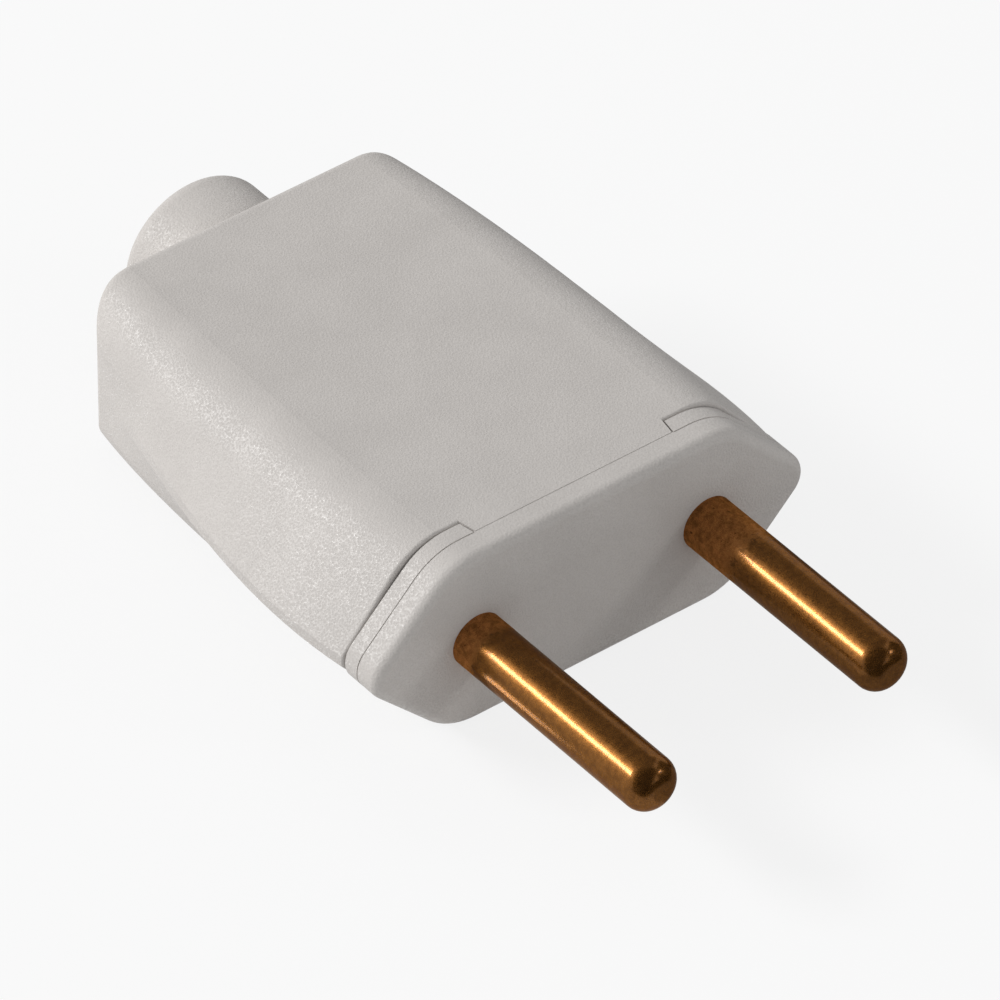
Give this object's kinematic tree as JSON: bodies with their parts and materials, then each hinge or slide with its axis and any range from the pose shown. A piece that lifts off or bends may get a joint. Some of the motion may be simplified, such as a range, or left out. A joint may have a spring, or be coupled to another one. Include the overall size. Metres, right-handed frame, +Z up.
{
  "type": "two-pin plug",
  "caption": "Flat rewirable mains plug with a hollow moulded cover, a flanged pin carrier, round brass pins and a cord neck.",
  "frame": {"origin": "under the middle of the plug, on the surface that its broad face lies on", "axes": "+X across the pins, -Y the way the pins point, +Z up out of the broad face"},
  "size_m": [0.0362, 0.0628, 0.014],
  "materials": {
    "cover_plastic": "warm light grey, fine moulded grain",
    "carrier_plastic": "warm light grey, fine moulded grain",
    "pin_brass": "turned brass, darkened with age",
    "screw_steel": "zinc-plated steel"
  },
  "bodies": {
    "root": {"cover": "cover_plastic", "pin_carrier": "carrier_plastic", "pin_left": "pin_brass", "pin_right": "pin_brass", "cord_clamp": "carrier_plastic", "terminal_screw_left": "screw_steel", "terminal_screw_right": "screw_steel", "cord_clamp_screw_left": "screw_steel", "cord_clamp_screw_right": "screw_steel"}
  },
  "joints": []
}
